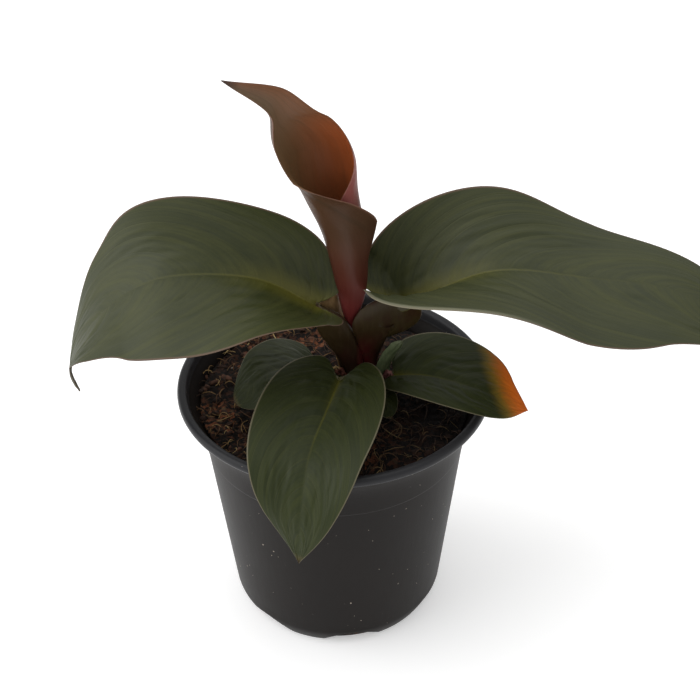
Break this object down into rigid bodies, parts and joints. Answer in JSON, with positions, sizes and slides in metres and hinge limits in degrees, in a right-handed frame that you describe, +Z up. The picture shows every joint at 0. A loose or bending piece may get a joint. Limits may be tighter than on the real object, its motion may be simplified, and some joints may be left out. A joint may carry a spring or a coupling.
{
  "type": "potted philodendron",
  "caption": "Round tapered nursery pot of potting mix holding a young philodendron with broad arching leathery leaves and one rolled new leaf.",
  "frame": {"origin": "centre of the pot's flat base, on the surface it stands on", "axes": "+Z up along the pot's axis, -Y towards the front leaf that hangs over the rim, +X towards the largest leaf"},
  "size_m": [0.2779, 0.1464, 0.2492],
  "materials": {
    "pot": "thin moulded black plastic with a soft sheen, light scuffs and dust specks",
    "potting_mix": "loose brown peat and coir, matt, with straw-coloured fibres",
    "crown": "short corky stem with pale main roots, matt",
    "leaf_green": "leathery dark olive green, satin, pale midrib and fine side veins",
    "leaf_young": "tender reddish brown, satin, orange-brown inside",
    "stalk": "smooth olive brown, dark red towards the foot, satin",
    "stalk_young": "smooth pink red, satin",
    "cataphyll_green": "thin pale green scale leaf, satin",
    "cataphyll_dry": "thin papery dry scale leaf, matt"
  },
  "bodies": {
    "root": {"pot": "pot", "potting_mix": "potting_mix", "crown_and_roots": "crown", "blade_left": "leaf_green", "blade_right": "leaf_green", "blade_front": "leaf_green", "blade_small_right": "leaf_green", "blade_small_left": "leaf_green", "blade_tiny": "leaf_green", "blade_new": "leaf_young", "stalk_left": "stalk", "stalk_right": "stalk", "stalk_front": "stalk", "stalk_small_right": "stalk", "stalk_small_left": "stalk", "stalk_tiny": "stalk", "stalk_new": "stalk_young", "cataphyll_green": "cataphyll_green", "cataphyll_dry": "cataphyll_dry", "cataphyll_stub_left": "cataphyll_dry", "cataphyll_stub_right": "cataphyll_dry"}
  },
  "joints": []
}
